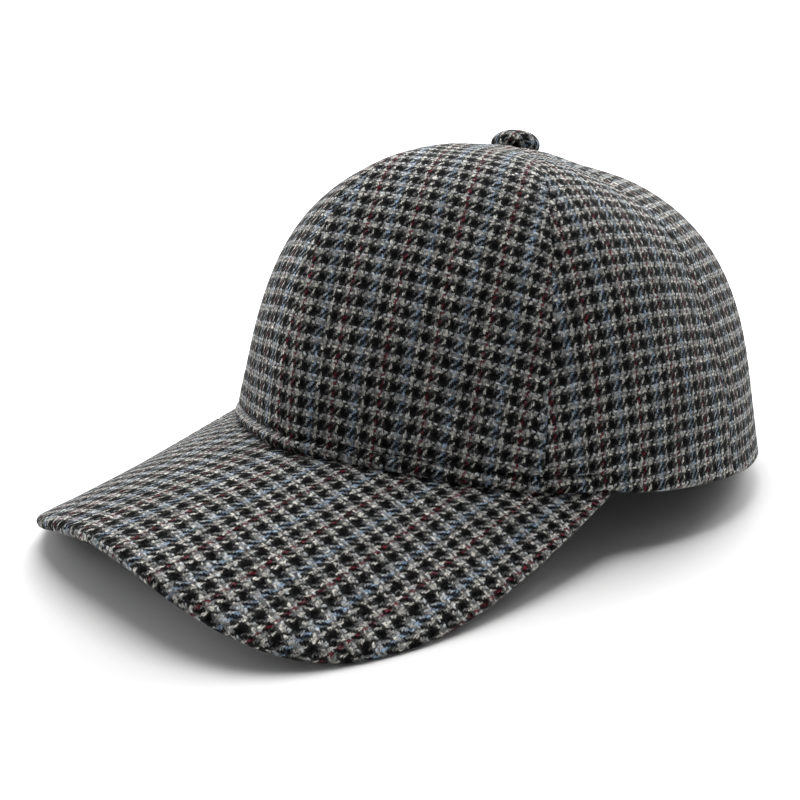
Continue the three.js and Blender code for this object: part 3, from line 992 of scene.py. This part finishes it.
def cloth_colour(start, place, at):
    """The colour of the thread that shows, with its flecks, its nap and its small shadows."""
    warp, weft, warp_shows = at["warp"], at["weft"], at["warp_shows"]
    warp_colour = yarn_ramp(at["warp_number"] + 0.5, WARP_YARNS, WARP_THREADS)
    weft_colour = yarn_ramp(at["weft_number"] + 0.5, WEFT_YARNS, WEFT_THREADS)

    # The dye of the blue and the red yarn comes and goes along the thread.
    dye = start.noise(start.xyz(at["warp_number"] * DYE_ACROSS, weft * DYE_ALONG, 31.0), detail=1.0)
    in_stripe = at["warp_number"].modulo(WARP_THREADS / 2) + 0.5 > STRIPE_FROM
    faded = in_stripe * (1.0 - dye.ramp(*DYE_TAKEN)) * FADED
    warp_colour = start.mix(faded, warp_colour, (*GREY, 1))
    colour = start.mix(warp_shows, weft_colour, warp_colour)

    # The nap: short fibres of both yarns, raised by the finishing, lie over the weave and blur it.
    soft_warp = yarn_ramp(warp, WARP_YARNS, WARP_THREADS, soft=True)
    soft_weft = yarn_ramp(weft, WEFT_YARNS, WEFT_THREADS, soft=True)
    tuft = start.noise(start.xyz(warp * TUFTS, weft * TUFTS, 20.0))
    nap = start.mix(tuft.ramp(*TUFT_EDGE), soft_warp, soft_weft)
    colour = start.mix(NAP, colour, nap)

    # Wool is dyed in the fleece, so a dark yarn holds some pale fibres and a pale one some dark.
    fleck = start.noise(start.xyz(warp * FLECKS, weft * FLECKS, 3.0), 0.7, 3.0)
    colour = start.mix(fleck.ramp(*PALE_FLECK) * PALE_SHARE, colour, (*PALE_FIBRE, 1))
    dark = (1.0 - fleck).ramp(*DARK_FLECK) * DARK_SHARE
    colour = start.mix(dark, colour, (*DARK_FIBRE, 1))

    # Thick places are paler, and light doesn't reach the bottom of the gaps between threads.
    slubs = {0: warp_shows, 2: at["weft_slub"], 3: at["warp_slub"]}
    slub = start.node("ShaderNodeMix", slubs, {"data_type": "FLOAT"})
    gap = at["height"].ramp(*GAP_HEIGHTS) * GAP_DEPTH + (1 - GAP_DEPTH)
    worn = start.noise(place, WORN_SCALE, 3.0) * WORN + (1 - WORN / 2)
    shade = gap * worn * (slub.ramp(*SLUB_EDGE) * SLUB_PALER + SLUB_DARKEST)
    return start.mix(1.0, colour, start.grey(shade), "MULTIPLY")


# %% The whole cloth
WOOL = {"Specular IOR Level": 0.02, "Sheen Weight": 0.05, "Sheen Roughness": 0.3}
ROUGHNESS = 0.95
WARP_SMOOTHER = 0.06
FIBRE_RELIEF = 0.55
RELIEF_STRENGTH = 0.85
RELIEF_METRES = 0.00022


def tweed_material(name):
    """The whole cloth: its weave, its colour, its roughness and its relief."""
    material, tree, shader = new_material(name, WOOL)
    start = Wire(tree, None)
    place = start.node("ShaderNodeTexCoord", {}, output="Object")
    at = weave(start, place)
    cloth_colour(start, place, at).feeds(shader.inputs["Base Color"])
    (ROUGHNESS - at["warp_shows"] * WARP_SMOOTHER).feeds(shader.inputs["Roughness"])
    relief = at["height"] + at["fibres"] * FIBRE_RELIEF
    inputs = {"Strength": RELIEF_STRENGTH, "Distance": RELIEF_METRES, "Height": relief}
    start.node("ShaderNodeBump", inputs).feeds(shader.inputs["Normal"])
    return material


tweed = tweed_material("tweed")
for piece in [*crown_pieces.values(), peak, button]:
    piece.data.materials.append(tweed)
print(tweed.name, "has", len(tweed.node_tree.nodes), "nodes")

# %% [markdown]
# ## The row of stitches
#
# A row of stitches holds the hem down over the peak. Each stitch could be modelled and placed in a
# loop. Here Geometry Nodes walk along the groove, put one short strand of dark sewing thread at
# each step and turn it along the row, so the length of a stitch is one value.

# %% The row of stitches
STITCH_STEP = 0.0031
STITCH_LENGTH = 0.0026
STITCH_RADIUS = 0.00032
STITCH_SINK = 0.05
STITCH_ROW_DEGREES = 56.0
ROW_POINTS = 400
ROW_SEARCH = np.linspace(0, 0.5, 200)


def node_group(name, values):
    """A Geometry Nodes tree with a geometry in, a geometry out and named values."""
    tree = bpy.data.node_groups.new(name, "GeometryNodeTree")
    tree.interface.new_socket("Geometry", in_out="INPUT", socket_type="NodeSocketGeometry")
    sockets = {}
    for label, kind in values.items():
        made = tree.interface.new_socket(label, in_out="INPUT", socket_type=kind)
        sockets[label] = made.identifier
    tree.interface.new_socket("Geometry", in_out="OUTPUT", socket_type="NodeSocketGeometry")
    return tree, sockets


def stitch_tree():
    """A strand at each step of a row, turned along it."""
    values = dict.fromkeys(("Step", "Length", "Radius"), "NodeSocketFloat")
    tree, sockets = node_group("stitches", {**values, "Thread": "NodeSocketMaterial"})
    given = tree.nodes.new("NodeGroupInput")
    start = Wire(tree, given.outputs["Geometry"])
    step, length, radius, thread = (Wire(tree, given.outputs[label]) for label in sockets)
    row = start.node("GeometryNodeMeshToCurve", {"Mesh": start})
    inputs = {"Curve": row, "Length": step}
    row = start.node("GeometryNodeResampleCurve", inputs, {"mode": "LENGTH"})
    strand = start.node("GeometryNodeMeshUVSphere", {"Segments": 8, "Rings": 6, "Radius": 1.0})
    along = start.node("GeometryNodeInputTangent", {})
    turned = start.node("FunctionNodeAlignRotationToVector", {"Vector": along}, {"axis": "X"})
    size = start.xyz(length * 0.5, radius, radius)
    inputs = {"Points": row, "Instance": strand, "Rotation": turned, "Scale": size}
    placed = start.node("GeometryNodeInstanceOnPoints", inputs)
    real = start.node("GeometryNodeRealizeInstances", {"Geometry": placed})
    done = start.node("GeometryNodeSetMaterial", {"Geometry": real, "Material": thread})
    done.feeds(tree.nodes.new("NodeGroupOutput").inputs["Geometry"])
    return tree, sockets


def baked(piece):
    """The mesh that a piece's modifiers make, as a plain mesh with no modifiers."""
    ready = piece.evaluated_get(bpy.context.evaluated_depsgraph_get())
    mesh = bpy.data.meshes.new_from_object(ready)
    piece.modifiers.clear()
    piece.data = mesh
    return piece


# %% Sewing
values = {"Base Color": (0.008, 0.008, 0.009, 1), "Roughness": 0.7, "Specular IOR Level": 0.2}
sewing_thread, _, _ = new_material("sewing_thread", values)

row_azimuth = np.radians(np.linspace(-STITCH_ROW_DEGREES, STITCH_ROW_DEGREES, ROW_POINTS))
walked = walk_length(crown_point(*np.meshgrid(row_azimuth, ROW_SEARCH)))
row_climb = np.array([np.interp(STITCH_HEIGHT, column, ROW_SEARCH) for column in walked.T])
row_line = crown_point(row_azimuth, row_climb)
row_line = row_line - crown_normal(row_azimuth, row_climb) * (STITCH_GROOVE + STITCH_SINK)
row_edges = [(k, k + 1) for k in range(ROW_POINTS - 1)]
stitches = new_object("stitches", to_world(row_line), row_edges, [])
tree, sockets = stitch_tree()
sewing = stitches.modifiers.new("sewing", "NODES")
sewing.node_group = tree
for label, value in (("Step", STITCH_STEP), ("Length", STITCH_LENGTH), ("Radius", STITCH_RADIUS)):
    sewing[sockets[label]] = value
sewing[sockets["Thread"]] = sewing_thread
baked(stitches)
print("stitches has", len(stitches.data.polygons), "faces")

# %% [markdown]
# ## Riding and replacing
#
# Every piece rides on the cap's one body, and stands for its own solid, which stays hidden for the
# collisions.

# %% Riding and replacing
for node, piece in [*crown_pieces.items(), ("peak", peak), ("button", button)]:
    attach(piece, "root")
    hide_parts(node)
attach(stitches, "root")
print("pieces that replace a solid:", len(crown_pieces) + 2)

# %% [markdown]
# ## Floor and light
#
# The cap is photographed on white. Its top and its side at the picture's left are pale, and the
# wall that faces the camera is dark. So one soft lamp hangs over it, a strong one stands far
# behind it and a weak one at the left; each was tried alone, and then given its share.
#
# The floor is one sheet that curves up all round, so that no horizon shows. It glows softly behind
# the cap. On the camera's side it is grey, because a white wall there would throw light on the
# cap's dark front.

# %% Floor
STUDIO_RADIUS = 1.9
STUDIO_BEND = 0.7
STUDIO_HEIGHT = 2.2
STUDIO_SIDES = 96
BEND_STEPS = 14
FLAT_RINGS = (0.25, 0.5, 0.8, STUDIO_RADIUS - STUDIO_BEND)
SIGHT = (-0.643, 0.766)
GLOW = 0.85
GLOW_STARTS = (0.25, 1.0)
GREY_FLOOR = 0.18
GREY_ENDS = (-0.45, -0.17)
PALER = 0.63

profile = [(radius, 0.0) for radius in FLAT_RINGS]
for step in np.linspace(0, math.pi / 2, BEND_STEPS)[1:]:
    out = STUDIO_RADIUS - STUDIO_BEND * (1 - math.sin(step))
    profile.append((out, STUDIO_BEND * (1 - math.cos(step))))
profile = np.array([*profile, (STUDIO_RADIUS, STUDIO_HEIGHT)])
turn = np.linspace(0, 2 * math.pi, STUDIO_SIDES, endpoint=False)
points = rings_round(profile[:, :1], profile[:, 1], turn)
number = closed_numbers(len(profile), STUDIO_SIDES)
faces = grid_quads(number, flip=True).tolist() + [number[0, :-1].tolist()]
floor = new_object("floor", points, [], faces)

values = {"Roughness": 0.9, "Specular IOR Level": 0.1, "Emission Strength": 1.0}
floor_material, floor_tree, floor_shader = new_material("studio_floor", values)
start = Wire(floor_tree, None)
place = start.node("ShaderNodeTexCoord", {}, output="Object")
sideways = start.node("ShaderNodeSeparateXYZ", {"Vector": place})
deep = sideways.sibling("Y") * SIGHT[1] + sideways * SIGHT[0]
glow = deep.ramp(*GLOW_STARTS) * GLOW
start.grey(glow).feeds(floor_shader.inputs["Emission Color"])
pale = deep.ramp(*GREY_ENDS) * PALER + GREY_FLOOR
start.grey(pale).feeds(floor_shader.inputs["Base Color"])
floor.data.materials.append(floor_material)
print("floor has", len(faces), "faces")

# %% Light
# Each lamp's name, its place, what it points at, its size and its power.
LIGHTS = (
    ("overhead", (-0.13, 0.03, 0.52), (0, 0, 0.05), 0.4, 3.7),
    ("behind", (-0.06, 1.15, 0.62), (0, 0, 0.08), 0.8, 21.5),
    ("picture_left", (-1.05, -0.50, 0.45), (0, 0, 0.06), 0.7, 4.2),
)
SKY = 0.065


def add_light(name, place, target, size, power):
    """A square lamp at a place, turned towards a target."""
    data = bpy.data.lights.new(name, "AREA")
    data.size = size
    data.energy = power
    lamp = bpy.data.objects.new(name, data)
    lamp.location = place
    aim = Vector(target) - Vector(place)
    lamp.rotation_euler = aim.to_track_quat("-Z", "Y").to_euler()
    bpy.context.scene.collection.objects.link(lamp)


for light in LIGHTS:
    add_light(*light)

world = bpy.data.worlds.new("studio")
world.use_nodes = True
sky = world.node_tree.nodes["Background"]
sky.inputs["Color"].default_value = (1, 1, 1, 1)
sky.inputs["Strength"].default_value = SKY
bpy.context.scene.world = world
bpy.context.scene.view_settings.view_transform = "Standard"
print("lights:", len(LIGHTS))
